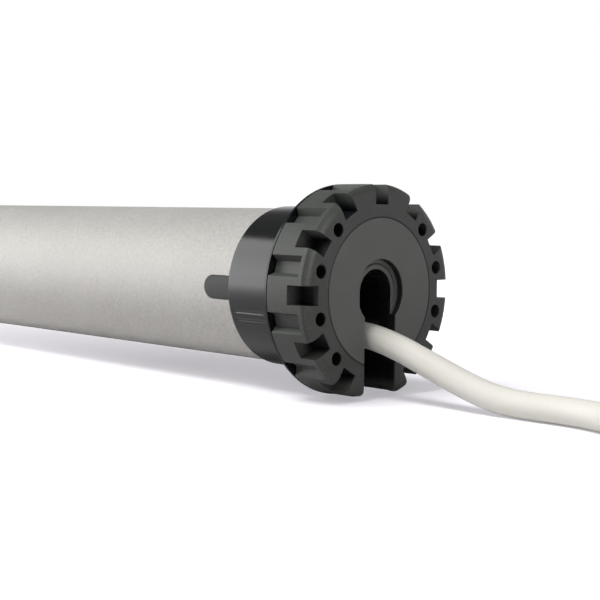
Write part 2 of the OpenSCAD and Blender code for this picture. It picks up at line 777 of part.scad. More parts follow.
module motor_leads() {
    shades = ["SaddleBrown", "SteelBlue", "DimGray"];
    x = x_carrier_end + 4;
    for (k = [0:2]) color(shades[k]) {
        y = lead_circle_r * cos(lead_angles[k]);
        z = lead_circle_r * sin(lead_angles[k]);
        pin_at(lead_angles[k], lead_circle_r, lead_r, x, x_shield_end - 0.2);
        translate([x, y, z]) sphere(lead_r + 0.1);
        translate([x, y, board_top]) cylinder(h = z - board_top, r = lead_r);
    }
}

// Motor
module endshield(x_front) {
    x_back = x_front - shield_t;
    color("lightslategray") difference() {
        ring(x_front, x_back, part_r);
        ring(x_front - 1, x_back - over, bearing_r + thin);
        ring(x_front + over, x_back - over, bearing_out_r + 0.2);
        bar(x_front + over, x_back - over) lead_notches();
        for (a = [30:60:330]) pin_at(a + 15, 15.2, 2.2, x_front + over, x_back - over);
    }
}

module front_endshield() endshield(x_shield);
module rear_endshield() endshield(x_rear_shield);

module stator_core() {
    color("slategray") bar(x_core, x_core_end) difference() {
        circle(part_r);
        circle(bore_r);
        for (k = [0:stator_slots - 1]) rotate((k + 0.5) * 360 / stator_slots) {
            translate([slot_in_r, -slot_wide / 2]) square([slot_out_r - slot_in_r, slot_wide]);
            translate([0, -0.6]) square([slot_in_r + 0.1, 1.2]);
        }
    }
}

module stator_winding() {
    fill = 0.2;
    color("peru") {
        for (k = [0:stator_slots - 1])
            bar(x_core + over, x_core_end - over) rotate((k + 0.5) * 360 / stator_slots)
                translate([slot_in_r + fill, -slot_wide / 2 + fill])
                    square([slot_out_r - slot_in_r - 2 * fill, slot_wide - 2 * fill]);
        face(x_core + 0.3) end_turns();
        translate([x_core_end - 0.3, 0, 0]) mirror([1, 0, 0]) face() end_turns();
    }
}

module end_turns() {
    rotate_extrude() polygon([[slot_in_r, 0], [slot_out_r + 0.4, 0],
        [slot_out_r + 0.4, winding_out - 2.4], [slot_out_r - 1.6, winding_out - 0.6],
        [slot_in_r + 1.5, winding_out - 0.6], [slot_in_r, winding_out - 2.4]]);
}

module rotor_core() {
    color("lightsteelblue") difference() {
        union() {
            ring(x_core, x_core_end, rotor_r);
            ring(x_core + 3, x_core_end - 3, rotor_r - 0.8);
        }
        ring(x_core + 3 + over, x_core_end - 3 - over, shaft_r + thin);
    }
}

module rotor_shaft() {
    color("silver") {
        ring(x_shield - 1, x_brake_end + 0.5, shaft_r);
        ring(x_brake_end + 0.5 + over, x_plate_1 + 0.6, shaft_end_r);
    }
}

module bearing_outer_rings() {
    color("silver") for (x = bearing_xs) face(x) rotate_extrude() difference() {
        translate([bearing_out_r, -bearing_w]) square([bearing_r - bearing_out_r, bearing_w]);
        translate([ball_circle_r, -bearing_w / 2]) circle(ball_r + run_fit + thin);
    }
}

module bearing_inner_rings() {
    color("silver") for (x = bearing_xs) {
        face(x) rotate_extrude() difference() {
            translate([shaft_r + thin, -bearing_w])
                square([bearing_in_r - shaft_r - thin, bearing_w]);
            translate([ball_circle_r, -bearing_w / 2]) circle(ball_r + run_fit + thin);
        }
        for (k = [0:6]) face(x - bearing_w / 2) rotate(k * 360 / 7)
            translate([ball_circle_r, 0, 0]) sphere(ball_r);
    }
}

// Brake: the spring presses the armature on the disc, and the coil pulls it off
module brake_housing() {
    color("darkgray") difference() {
        ring(x_brake, x_brake_end, part_r);
        ring(x_brake + over, x_brake_end + brake_back_t, brake_in_r);
        ring(x_brake, x_brake_end - over, shaft_r + 0.6);
    }
}

module brake_coil() {
    color("sienna") difference() {
        ring(x_brake, x_coil_face, brake_in_r - seat);
        ring(x_spring, x_coil_face - over, spring_r + spring_wire_r + 0.5);
        ring(x_brake + over, x_spring - over, shaft_r + 0.6);
        ring(x_coil_face + 1.5, x_coil_face - over, brake_in_r - 3, spring_r + spring_wire_r + 2.5);
    }
}

module brake_armature() {
    color("lightgray") ring(x_armature, x_armature_end, brake_in_r - 0.3, shaft_r + 0.8);
}

module brake_disc() {
    color("darkslategray") ring(x_disc, x_disc_end, brake_in_r - 1.5, shaft_r + thin);
}

module brake_spring() {
    steps = spring_turns * 8;
    length = x_spring - x_spring_end - 2 * spring_wire_r - 0.1;
    points = [for (i = [0:steps])
        let (a = i * 45, out = [cos(a), sin(a), 0], rise = [0, 0, length * i / steps])
        each around(spring_r * out + rise, spring_wire_r, out, [0, 0, 1], 6)];
    color("silver") face(x_spring_end + spring_wire_r + 0.05)
        polyhedron(points, tube_faces(steps + 1, 6));
}

// Gearbox
module ring_gear() {
    color("dimgray") {
        bar(x_ring, x_plate_3 + 0.2) difference() {
            circle(part_r);
            ring_space(ring_teeth, gear_module);
        }
        ring(x_plate_3 + 0.2, x_ring_end, part_r, ring_end_r);
    }
}

module sun_gear() {
    color("silver") bar(x_brake_end - 0.6, x_plate_1 + 0.3) difference() {
        gear_shape(sun_teeth, gear_module);
        circle(shaft_end_r + thin);
    }
}

module planet(stage, index) {
    x = x_planet[stage];
    color("goldenrod") bar(x, x - planet_w[stage]) rotate(planet_angles[index])
        translate([planet_orbit, 0]) difference() {
            gear_shape(planet_teeth, gear_module);
            circle(pin_r + run_fit);
        }
}

module planet_1a() planet(0, 0);
module planet_1b() planet(0, 1);
module planet_1c() planet(0, 2);
module planet_2a() planet(1, 0);
module planet_2b() planet(1, 1);
module planet_2c() planet(1, 2);
module planet_3a() planet(2, 0);
module planet_3b() planet(2, 1);
module planet_3c() planet(2, 2);

module carrier_plate(stage, thickness) {
    bar(x_plate[stage], x_plate[stage] - thickness) difference() {
        circle(carrier_r_out);
        for (a = planet_angles) rotate(a) translate([planet_orbit, 0]) circle(pin_r + thin);
    }
}

module planet_pins(stage, thickness) {
    color("gainsboro") for (a = planet_angles)
        pin_at(a, planet_orbit, pin_r, x_planet[stage] + 0.1, x_plate[stage] - thickness);
}

module carrier_with_sun(stage) {
    color("darkkhaki") {
        carrier_plate(stage, carrier_t);
        bar(x_plate[stage] - carrier_t + 0.5, x_plate[stage + 1] + 0.15)
            gear_shape(sun_teeth, gear_module);
    }
}

module carrier_1() carrier_with_sun(0);
module carrier_2() carrier_with_sun(1);
module planet_pins_1() planet_pins(0, carrier_t);
module planet_pins_2() planet_pins(1, carrier_t);
module planet_pins_3() planet_pins(2, output_plate_t);

module shaft_outline(play = 0) {
    intersection() {
        circle(output_r + play);
        square([output_flats + 2 * play, 2 * output_r + over], center = true);
    }
}

module output_shaft() {
    color("silver") difference() {
        union() {
            carrier_plate(2, output_plate_t);
            ring(x_plate_3 - output_plate_t + 0.5, x_wheel + 0.4, output_r);
            bar(x_wheel + 1, x_shaft_end) shaft_outline();
        }
        ring(x_clip, x_clip - clip_t, output_r + over, output_r - 0.8);
        ring(x_shaft_end + 10, x_shaft_end - over, 1.7);
    }
}

// Output end
module end_cap() {
    color([0.25, 0.25, 0.25]) difference() {
        union() {
            ring(x_ring_end, x_tube_end, part_r);
            ring(x_tube_end, x_cap_out, tube_r);
        }
        ring(x_ring_end + over, x_cap_out - over, output_r + bush_wall + seat);
        for (a = end_screw_angles) rotate([a, 0, 0])
            translate([x_tube_end + end_cap_len / 2, tube_in_r - 6, 0]) rotate([-90, 0, 0])
                cylinder(h = tube_r, r = tube_screw_d / 2 + thin);
        for (a = [0:45:315]) pin_at(a + 22.5, 16, 2.2, x_cap_out + 9, x_cap_out - over);
    }
}

module output_bush() {
    color("peru") ring(x_ring_end - 0.2, x_cap_out, output_r + bush_wall, output_r + run_fit);
}

module shaft_clip() {
    color("dimgray") bar(x_clip - 0.1, x_clip - clip_t + 0.1) difference() {
        circle(output_r + 2);
        circle(output_r - 0.8 + thin);
        translate([0, -2.5]) square([output_r + 3, 5]);
    }
}

// Drive wheel: an octagon for an octagonal roller tube, with a flat underneath
module octagon(flats) {
    rotate(22.5) circle(r = flats / 2 / cos(22.5), $fn = 8);
}

module drive_wheel() {
    rib_t = 2;
    web = 3;
    color([0.16, 0.16, 0.16]) {
        bar(x_wheel, x_wheel_end) difference() {
            octagon(wheel_flats);
            octagon(wheel_flats - 2 * wheel_wall);
        }
        bar(x_wheel, x_wheel_end + wheel_recess) difference() {
            union() {
                circle(hub_r);
                for (k = [0:wheel_ribs - 1]) rotate(k * 360 / wheel_ribs)
                    translate([hub_r - 1, -rib_t / 2])
                        square([wheel_flats / 2 - wheel_wall / 2 - hub_r + 1, rib_t]);
            }
            shaft_outline(run_fit);
        }
        bar(x_wheel_end + wheel_recess + web, x_wheel_end + wheel_recess) difference() {
            octagon(wheel_flats - wheel_wall);
            circle(hub_r - 1);
        }
    }
}

module wheel_screw() {
    color("silver") {
        ring(x_shaft_end + 8, x_shaft_end, 1.65);
        ring(x_shaft_end, x_shaft_end - 1, hub_r - 3);
        difference() {
            ring(x_shaft_end - 1, x_shaft_end - 3.6, 3.6);
            bar(x_shaft_end - 2.4, x_shaft_end - 3.6 - over) square([1.2, 9], center = true);
        }
    }
}

head_housing();
head_plate();
head_core();
tube_plug();
head_screws();
crown();
encoder_gear();
encoder_magnet();
sensor_board();
cable_connector();
supply_cable();
cable_coil();
coil_ties();
cable_cores();
motor_tube();
tube_screws();
board_carrier();
control_board();
relays();
power_transformer();
board_capacitors();
run_capacitor();
capacitor_rings();
motor_leads();
front_endshield();
rear_endshield();
stator_core();
stator_winding();
rotor_core();
rotor_shaft();
bearing_outer_rings();
bearing_inner_rings();
brake_housing();
brake_coil();
brake_armature();
brake_disc();
brake_spring();
ring_gear();
sun_gear();
planet_1a();
planet_1b();
planet_1c();
carrier_1();
planet_2a();
planet_2b();
planet_2c();
carrier_2();
planet_3a();
planet_3b();
planet_3c();
output_shaft();
planet_pins_1();
planet_pins_2();
planet_pins_3();
end_cap();
output_bush();
shaft_clip();
drive_wheel();
wheel_screw();
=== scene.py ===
import json
import math

import bmesh
import bpy
import numpy as np
from mathutils import Matrix, Vector

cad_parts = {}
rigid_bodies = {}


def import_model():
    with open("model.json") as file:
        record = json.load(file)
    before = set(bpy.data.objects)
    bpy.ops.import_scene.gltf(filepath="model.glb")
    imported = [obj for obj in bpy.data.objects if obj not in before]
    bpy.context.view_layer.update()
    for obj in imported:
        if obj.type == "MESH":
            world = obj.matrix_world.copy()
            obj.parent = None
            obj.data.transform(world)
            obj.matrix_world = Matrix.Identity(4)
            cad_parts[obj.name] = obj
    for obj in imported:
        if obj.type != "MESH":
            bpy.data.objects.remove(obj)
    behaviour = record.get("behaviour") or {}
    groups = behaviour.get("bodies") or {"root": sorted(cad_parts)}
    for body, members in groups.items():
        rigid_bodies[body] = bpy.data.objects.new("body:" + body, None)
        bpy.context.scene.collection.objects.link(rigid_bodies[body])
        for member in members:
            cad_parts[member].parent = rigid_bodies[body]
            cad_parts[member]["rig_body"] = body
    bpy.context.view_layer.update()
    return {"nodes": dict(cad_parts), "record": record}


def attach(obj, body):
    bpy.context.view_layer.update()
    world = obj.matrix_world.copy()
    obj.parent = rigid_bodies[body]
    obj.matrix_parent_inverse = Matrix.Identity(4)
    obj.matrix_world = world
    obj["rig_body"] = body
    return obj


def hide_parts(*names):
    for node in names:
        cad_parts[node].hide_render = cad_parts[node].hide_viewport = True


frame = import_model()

# A tubular motor on a white table: the motor's axis is X, its head looks along +X, and Z is up.
# Lengths below are in millimetres and angles in degrees, except where a comment says otherwise.
# MM takes millimetres to the scene's metres.
MM = 0.001
TAU = 2 * math.pi

# The camera, fitted to the photograph. The sensor's width is in millimetres.
CAMERA_AT = (225.615, -251.553, 22.07)
CAMERA_TURN = 45.623
CAMERA_DOWN = 4.144
CAMERA_ROLL = 0.703
FOCAL_PIXELS = 1242.4
PHOTO_PIXELS = 600
SENSOR = 36
NEAREST_SEEN = 10

# The cable's route and coil, as the CAD source has them. COIL_START is in radians.
CABLE_D = 7.2
ROUTE = [
    (-14, 0, -12), (-8, 0, -12), (-4, 0, -12.3), (0, 0.1, -13), (4, 0.3, -14),
    (8, 0.5, -15.2), (13, 0.8, -17), (19, 1.2, -19.2), (25, 1.6, -21.4), (31, 2, -23.4),
    (37, 2.5, -24.9), (43, 3, -25.6), (49, 3.3, -25.8), (55.1, 3.6, -25.8), (60.3, 3.5, -25.8),
    (65.5, 2.8, -25.8), (70.5, 1.3, -25.7), (75.2, -0.8, -25.4), (79.7, -3.5, -25), (83.7, -6.8, -24.9),
]
COIL_CENTRE = (121.9, 21.2)
COIL_Z = -24.9
COIL_R = 46.6
COIL_PITCH = 7.8
COIL_START = math.radians(-135)
LAYERS = 4
LAYER_TURNS = 2.25
LAYER_STEP = 7.7
RISE_TURNS = 0.5
TURN_POINTS = 24
COIL_STEPS = 194

# The curve that draws the cable: its ring's resolution, and its steps from a point to the next
CABLE_RING = 6
CABLE_STEPS = 5

# The ties round the coil: where they lie, their band, its slack and its cut corners
TIE_ANGLES = {"near_tie": 195, "far_tie": 45}
TIE_W = 4
TIE_T = 0.6
TIE_SLACK = 0.25
TIE_CORNER = 0.15
TIE_STEPS = 72

# The cores at the cable's end. Inside the sheath they lie CORE_ASIDE from its middle both ways. They
# fan out along the first 1 / FAN_RATE of their length, and sink onto the coil from FALL_FROM on.
CORES = ("core_brown", "core_blue", "core_black", "core_green")
CORE_R = 1.3
CORE_LEN = 34
CORE_ASIDE = 1.5
CORE_SPREAD = 4.8
CORE_BEND = 16
CORE_POINTS = 33
CORE_SIDES = 20
FAN_RATE = 1.6
FALL_FROM = 0.3
CORE_LIFT = 0.3

# A ferrule: distances along it, and its radius at each
FERRULE_R = 1.6
FERRULE_LEN = 9
FERRULE_AT = (0, 0.4, 1.4, 2.6, 2.8, FERRULE_LEN - 0.3, FERRULE_LEN)
FERRULE_RADII = (1.45, FERRULE_R, FERRULE_R, 1.35, 0.95, 0.95, 0.7)

# The limit crown between the head and the tube: its collar with a foot where it meets the side
CROWN_FRONT = -15.3
CROWN_REAR = -37.0
CROWN_R = 23.15
CROWN_ROUND = 0.6
COLLAR_R = 24.0
COLLAR_W = 5.6
COLLAR_SLOPE = 0.9
FOOT_W = 0.4
FOOT_H = 0.3
CROWN_BORE_R = 20.38
CROWN_TURNS = 720

# The two grooves along its side: the half width of a groove's floor and the width of its flanks are
# angles, and the rest are lengths
GROOVE_ANGLES = (196, 202)
GROOVE_DEPTH = 0.2
GROOVE_HALF = 0.5
GROOVE_FLANK = 0.9
GROOVE_FROM_END = 1.6
GROOVE_RISE = 0.8

# Softened edges: merged points in metres, the bend that still counts as flat, and what gets a round
MERGED_WITHIN = 2e-6
FLAT_WITHIN = 0.3
SHARP_FROM = 30
ROUND_SEGMENTS = 2

# The nodes that get them: a round's width, and how much a face may lean from a true round
ROUNDS = {
    "head_housing": (0.3, 2), "head_plate": (0.18, 2), "head_core": (0.2, 2), "motor_tube": (0.25, 4),
    "tube_plug": (0.3, 2), "cable_connector": (0.4, 2), "tube_screws": (0.15, 2), "end_cap": (0.4, 2.5),
    "drive_wheel": (0.5, 2), "wheel_screw": (0.25, 2), "shaft_clip": (0.1, 2), "output_shaft": (0.2, 2),
    "output_bush": (0.2, 2),
}

# True rounds: how far from a cylinder a face's corners may be, how much a face may lean from square
# to the axis, as a cosine, and how much a corner's normal may lean from its face
ROUND_SPREAD = 0.05
SQUARE_FROM = 0.9999
MOST_LEAN = 15

# Ramps of the shader groups: from and to, and where there are four numbers, the values there.
# Those of the painted shade in the head's openings are distances: inside the rim, from a floor,
# and from the seam. Then come the radii of the head's rim, of the seam round its plate, and of a floor.
NOISE_RAMP = (0.3, 0.7)
EDGE_WEAR_AND_HIGHLIGHT_RAMP = (0.3, 0.65, 0.35, 1.0)
RIM_RAMP = (2.4, 4.6)
FLOOR_RAMP = (0.08, 0.2)
SEAM_RAMP = (0.15, 0.3)
RIM_R = 29.4
SEAM_R = 20.4
FLOOR_R = 9

# Worn edges, with their wear and a painted highlight, are this much lighter than the colour, where a finish
# names no colour for them
WORN_AND_LIT_GAIN = 1.5
WORN_AND_LIT_LIFT = 0.02
LEAST_ROUGH = 0.03

# The table. Each ramp goes with the distance from the middle of the head's face, in metres: the glow
# that the camera sees, the darker paint that shiny surfaces show near the motor as a painted darker
# reflection, and the glow that they show further out.
FLOOR_Z = -29.4
TABLE_REACH = 4000
TABLE_ROUGH = 0.6
TABLE_GLOW = (0.97, 0.95, 1, 1)
TABLE_PAINT = (0.75, 0.735, 0.76)
REFLECTION_SHADE_PAINT = (0.46, 0.455, 0.465)
MIRRORED_WHITE = 0.9
GLOW_RAMP = (0.1, 0.4, 0.38, 1.05)
REFLECTION_SHADE_RAMP = (0.1, 0.35, 1.0, 0.0)
MIRROR_RAMP = (0.15, 0.6, 0.0, MIRRORED_WHITE)

# The room: its even light, and the backdrop that shiny surfaces show. The backdrop ends, as cosines
# and sines of the direction, where it turns away from BACKDROP_WAY and where it rises.
AMBIENT = 0.13
ROOM_TINT = (0.97, 0.96, 1.0, 1)
BACKDROP_WAY = (-0.375, 0.927, 0)
BACKDROP_SIDES = (-0.6, -0.3)
BACKDROP_TOP = (0.25, 0.5, 1.0, 0.0)

# The lamps: size, place and aim in metres, power in watts, and the kind of ray that doesn't see one
LAMPS = {
    "overhead": ((0.46, 0.34), (-0.06, -0.42, 0.8), (-0.06, 0, 0), 7.5, "visible_glossy"),
    "side_panel": ((0.8, 0.86), (-0.86, -0.6, 0.38), (-0.03, 0, 0), 5, None),
    "front_fill": ((0.8, 0.6), (0.7, -0.35, 0.85), (0, 0, 0), 2.2, None),
    "front_card": ((0.5, 0.5), (1.1, 0.0, 0.35), (0, 0, 0), 5, "visible_diffuse"),
}


# Meshes

def grid_faces(rows, columns, wrap_rows=False, wrap_columns=False):
    """Quads of a rows-by-columns grid of points: each joins a point to the next of its row and column."""
    r = np.arange(rows if wrap_rows else rows - 1)
    c = np.arange(columns if wrap_columns else columns - 1)
    r, c = (x.ravel() for x in np.meshgrid(r, c, indexing="ij"))
    r2, c2 = (r + 1) % rows, (c + 1) % columns
    return np.stack([r * columns + c, r * columns + c2, r2 * columns + c2, r2 * columns + c], 1)


def new_object(name, data):
    """An object of that name with its data, in the scene."""
    thing = bpy.data.objects.new(name, data)
    bpy.context.scene.collection.objects.link(thing)
    return thing


def new_piece(name, points, faces):
    """A smooth mesh object from points in millimetres and faces as lists of point numbers."""
    mesh = bpy.data.meshes.new(name)
    mesh.from_pydata((np.asarray(points, float) * MM).tolist(), [], [list(map(int, f)) for f in faces])
    mesh.validate()
    mesh.polygons.foreach_set("use_smooth", np.ones(len(mesh.polygons), bool))
    return new_object(name, mesh)


def dress(piece, body, slot_name, material, *nodes):
    """Gives a piece its finish and its body, and hides the CAD nodes it stands for; slot_name is not used.
    """
    piece.data.materials.clear()
    piece.data.materials.append(material)
    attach(piece, body)
    if nodes:
        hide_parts(*nodes)
    return piece


def slot_of_node(node):
    """The record's material slot of a CAD node."""
    return next(s["material_slot"] for s in frame["record"]["subparts"] if s["node"] == node)


def values_of(items, name, columns=1, kind=np.float64):
    """One property of all a mesh's points, corners or faces as an array."""
    values = np.zeros(len(items) * columns, kind)
    items.foreach_get(name, values)
    return values.reshape(-1, columns) if columns > 1 else values


def true_rounds(mesh, most):
    """Shades the faces that lie on a cylinder about the motor's axis as the true round.

    A face counts where its corners are all as far from the axis and its own heading is less than
    most degrees from the heading away from the axis, or towards it. Each of its corners then gets
    that heading as its normal. A face square to the axis is shaded flat, and so is a corner whose
    normal leans more than MOST_LEAN degrees from its face; all others keep the one they had.
    """
    points = values_of(mesh.vertices, "co", 3)
    which = values_of(mesh.loops, "vertex_index", kind=np.int32)
    sides = values_of(mesh.polygons, "loop_total", kind=np.int32)
    facing = np.repeat(values_of(mesh.polygons, "normal", 3), sides, axis=0)
    normals = values_of(mesh.corner_normals, "vector", 3, np.float32)
    away = points[which] * (0, 1, 1)
    reach = np.linalg.norm(away, axis=1)
    away /= np.maximum(reach, 1e-9)[:, None]
    first = np.cumsum(sides) - sides
    spread = np.maximum.reduceat(reach, first) - np.minimum.reduceat(reach, first)
    turned = np.einsum("ij,ij->i", facing, away)
    round_corner = np.abs(turned) > math.cos(math.radians(most))
    all_round = np.minimum.reduceat(round_corner.astype(int), first) > 0
    chosen = np.repeat(all_round & (spread < ROUND_SPREAD * MM), sides)
    leaning = np.einsum("ij,ij->i", facing, normals) < math.cos(math.radians(MOST_LEAN))
    flat = (np.abs(facing[:, 0]) > SQUARE_FROM) | leaning
    normals[flat] = facing[flat]
    normals[chosen] = (away * np.sign(turned)[:, None])[chosen]
    mesh.normals_split_custom_set(normals.tolist())


def softened(node, width, round_within):
    """A copy of a CAD node with rounded edges, which stands for the node.

    Doubled points are merged and triangles of one plane joined; each edge sharper than SHARP_FROM
    degrees gets a round of the given width. The round's corners carry 1 in the attribute edge
    and all others 0, so that a material can find the edges. true_rounds takes round_within.
    """
    shape = bmesh.new()
    shape.from_mesh(frame["nodes"][node].data)
    bmesh.ops.remove_doubles(shape, verts=shape.verts, dist=MERGED_WITHIN)
    bmesh.ops.dissolve_limit(shape, angle_limit=math.radians(FLAT_WITHIN),
                             verts=shape.verts, edges=shape.edges)
    plain = bpy.data.meshes.new(node + "_plain")
    shape.to_mesh(plain)
    shape.free()
    plain.materials.clear()
    for _ in ("flats", "rounds"):      # the rounds' faces take the second slot, which tells them apart
        plain.materials.append(None)
    plain.polygons.foreach_set("material_index", np.zeros(len(plain.polygons), np.int32))
    plain.polygons.foreach_set("use_smooth", np.ones(len(plain.polygons), bool))
    maker = new_object(node + "_maker", plain)
    bevel = maker.modifiers.new("rounding", "BEVEL")
    bevel.width = width * MM
    bevel.segments = ROUND_SEGMENTS
    bevel.limit_method = "ANGLE"
    bevel.angle_limit = math.radians(SHARP_FROM)
    bevel.material = 1
    bevel.harden_normals = True
    shown = maker.evaluated_get(bpy.context.evaluated_depsgraph_get())
    mesh = bpy.data.meshes.new_from_object(shown)
    bpy.data.objects.remove(maker)
    rounded = values_of(mesh.polygons, "material_index", kind=np.int32) == 1
    sides = values_of(mesh.polygons, "loop_total", kind=np.int32)
    edge = mesh.attributes.new("edge", "FLOAT", "CORNER")
    edge.data.foreach_set("value", np.repeat(rounded.astype(np.float32), sides))
    mesh.polygons.foreach_set("material_index", np.zeros(len(mesh.polygons), np.int32))
    true_rounds(mesh, round_within)
    slot_name = slot_of_node(node)
    body = frame["nodes"][node]["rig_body"]
    return dress(new_object(node + "_finished", mesh), body, slot_name, FINISH[slot_name], node)


def tube_along(path, radii, sides=CORE_SIDES):
    """Points and faces of a tube: at each path point a ring of the given radius, square to the path.

    With right as the path's heading crossed with the vertical, and up as right crossed with the
    heading, a ring's point at angle a is at p + r (sin a right + cos a up), so that its first point
    lies above the path. Both ends are closed by a fan to their own centre.
    """
    path = np.asarray(path, float)
    radii = np.broadcast_to(np.asarray(radii, float), (len(path),))
    way = np.gradient(path, axis=0)
    way /= np.linalg.norm(way, axis=1)[:, None]
    right = np.cross(way, (0, 0, 1))
    right /= np.linalg.norm(right, axis=1)[:, None]
    up = np.cross(right, way)
    turn = np.arange(sides) * TAU / sides
    ring = np.sin(turn)[None, :, None] * right[:, None] + np.cos(turn)[None, :, None] * up[:, None]
    points = (path[:, None] + ring * radii[:, None, None]).reshape(-1, 3)
    walls = grid_faces(len(path), sides, wrap_columns=True)
    first, last = len(points), len(points) + 1
    j = np.arange(sides)
    k = (j + 1) % sides
    end = (len(path) - 1) * sides
    front = np.stack([np.full(sides, first), k, j], 1)
    back = np.stack([np.full(sides, last), end + j, end + k], 1)
    return np.vstack([points, path[0], path[-1]]), walls.tolist() + front.tolist() + back.tolist()


def smooth_step(t):
    """Rises from 0 to 1 with level ends: 3t² - 2t³."""
    t = np.clip(t, 0, 1)
    return t * t * (3 - 2 * t)


# Shader nodes

def add_node(tree, kind, inputs=(), **settings):
    """A node of a tree with its settings. Each of its inputs is linked to a socket or takes a value."""
    node = tree.nodes.new(kind)
    for key, value in settings.items():
        setattr(node, key, value)
    for key, value in dict(inputs).items():
        if isinstance(value, bpy.types.NodeSocket):
            tree.links.new(value, node.inputs[key])
        else:
            node.inputs[key].default_value = value
    return node


def calc(tree, operation, *terms, **settings):
    """The result of a math node on its terms, each a socket or a number."""
    return add_node(tree, "ShaderNodeMath", enumerate(terms), operation=operation, **settings).outputs[0]


def length_of(tree, vector):
    """The length of a vector socket."""
    return add_node(tree, "ShaderNodeVectorMath", {0: vector}, operation="LENGTH").outputs["Value"]


def ramp(tree, source, start=0.0, end=1.0, low=0.0, high=1.0):
    """A socket's value from the range start to end, taken to the range low to high and held there."""
    limits = {"From Min": start, "From Max": end, "To Min": low, "To Max": high}
    return add_node(tree, "ShaderNodeMapRange", {0: source, **limits}).outputs[0]


def blend(tree, factor, first, second, **settings):
    """A colour between two others, each a socket or three numbers, by a factor."""
    first, second = (c if isinstance(c, bpy.types.NodeSocket) else (*c, 1) for c in (first, second))
    inputs = {0: factor, 6: first, 7: second}
    return add_node(tree, "ShaderNodeMix", inputs, data_type="RGBA", **settings).outputs[2]


def new_group(name, inputs, outputs):
    """An empty node group with float inputs and the named float outputs."""
    group = bpy.data.node_groups.new(name, "ShaderNodeTree")
    sockets = group.interface
    for label, value in inputs.items():
        sockets.new_socket(label, in_out="INPUT", socket_type="NodeSocketFloat").default_value = value
    for label in outputs:
        sockets.new_socket(label, in_out="OUTPUT", socket_type="NodeSocketFloat")
    return group, group.nodes.new("NodeGroupInput"), group.nodes.new("NodeGroupOutput")


def grain_group():
    """Grain of a surface: fine noise as Grain, and slow clouds of the same surface as Mottle."""
    group, given, out = new_group("surface_grain", {"Scale": 2000.0, "Clouds": 60.0}, ("Grain", "Mottle"))
    where = add_node(group, "ShaderNodeTexCoord").outputs["Object"]
    for label, scale, detail, rough in (("Grain", "Scale", 4.0, 0.65), ("Mottle", "Clouds", 5.0, 0.55)):
        noise = add_node(group, "ShaderNodeTexNoise", {"Vector": where, "Scale": given.outputs[scale],
                                                       "Detail": detail, "Roughness": rough})
        group.links.new(ramp(group, noise.outputs[0], *NOISE_RAMP), out.inputs[label])
    return group


def edge_wear_and_highlight_group():
    """Worn edges with a painted highlight: the edge attribute, broken up by noise, as one output."""
    group, given, out = new_group("worn_and_highlit_edges", {"Amount": 0.5, "Scale": 400.0}, ("Wear",))
    edge = add_node(group, "ShaderNodeAttribute", attribute_name="edge")
    where = add_node(group, "ShaderNodeTexCoord").outputs["Object"]
    noise = add_node(group, "ShaderNodeTexNoise", {"Vector": where, "Scale": given.outputs["Scale"],
                                                   "Detail": 3.0})
    masked = calc(group, "MULTIPLY", edge.outputs["Fac"], ramp(group, noise.outputs[0], *EDGE_WEAR_AND_HIGHLIGHT_RAMP))
    group.links.new(calc(group, "MULTIPLY", masked, given.outputs["Amount"]), out.inputs["Wear"])
    return group


def painted_shade_group():
    """Painted shade: how deep a point lies in the head's openings, and a painted dark line along the seam
    round its plate, as one output.

    The depth is the product of two ramps: of the distance behind the face, -x, from Start to End,
    and of the distance inside the rim, Rim - r, by RIM_RAMP, where r is the distance from the axis.
    The seam is where r is close to Seam, by SEAM_RAMP. A flat floor that lies Floor behind the face,
    out to the radius Inner, keeps the surface's own colour.
    """
    group, given, out = new_group("recess_shade", {
        "Rim": RIM_R * MM, "Seam": SEAM_R * MM, "Start": 0.0, "End": 0.0, "Floor": -1.0,
        "Inner": FLOOR_R * MM}, ("PaintedShade",))
    where = add_node(group, "ShaderNodeTexCoord")
    split = add_node(group, "ShaderNodeSeparateXYZ", {0: where.outputs["Object"]}).outputs
    across = add_node(group, "ShaderNodeCombineXYZ", {"Y": split["Y"], "Z": split["Z"]})
    reach = length_of(group, across.outputs[0])
    inside = calc(group, "SUBTRACT", given.outputs["Rim"], reach)
    back = calc(group, "MULTIPLY", split["X"], -1.0)
    depth = calc(group, "MULTIPLY", ramp(group, inside, *(v * MM for v in RIM_RAMP)),
                 ramp(group, back, given.outputs["Start"], given.outputs["End"]))
    height = calc(group, "ABSOLUTE", calc(group, "SUBTRACT", back, given.outputs["Floor"]))
    on_floor = ramp(group, height, *(v * MM for v in FLOOR_RAMP), 1.0, 0.0)
    within = calc(group, "LESS_THAN", reach, given.outputs["Inner"])
    walls = calc(group, "SUBTRACT", depth, calc(group, "MULTIPLY", on_floor, within), use_clamp=True)
    beside = calc(group, "ABSOLUTE", calc(group, "SUBTRACT", reach, given.outputs["Seam"]))
    seam = ramp(group, beside, *(v * MM for v in SEAM_RAMP), 1.0, 0.0)
    group.links.new(calc(group, "MAXIMUM", walls, seam), out.inputs["PaintedShade"])
    return group


GRAIN = grain_group()
EDGE_WEAR_AND_HIGHLIGHT = edge_wear_and_highlight_group()
PAINTED_SHADE_GROUP = painted_shade_group()


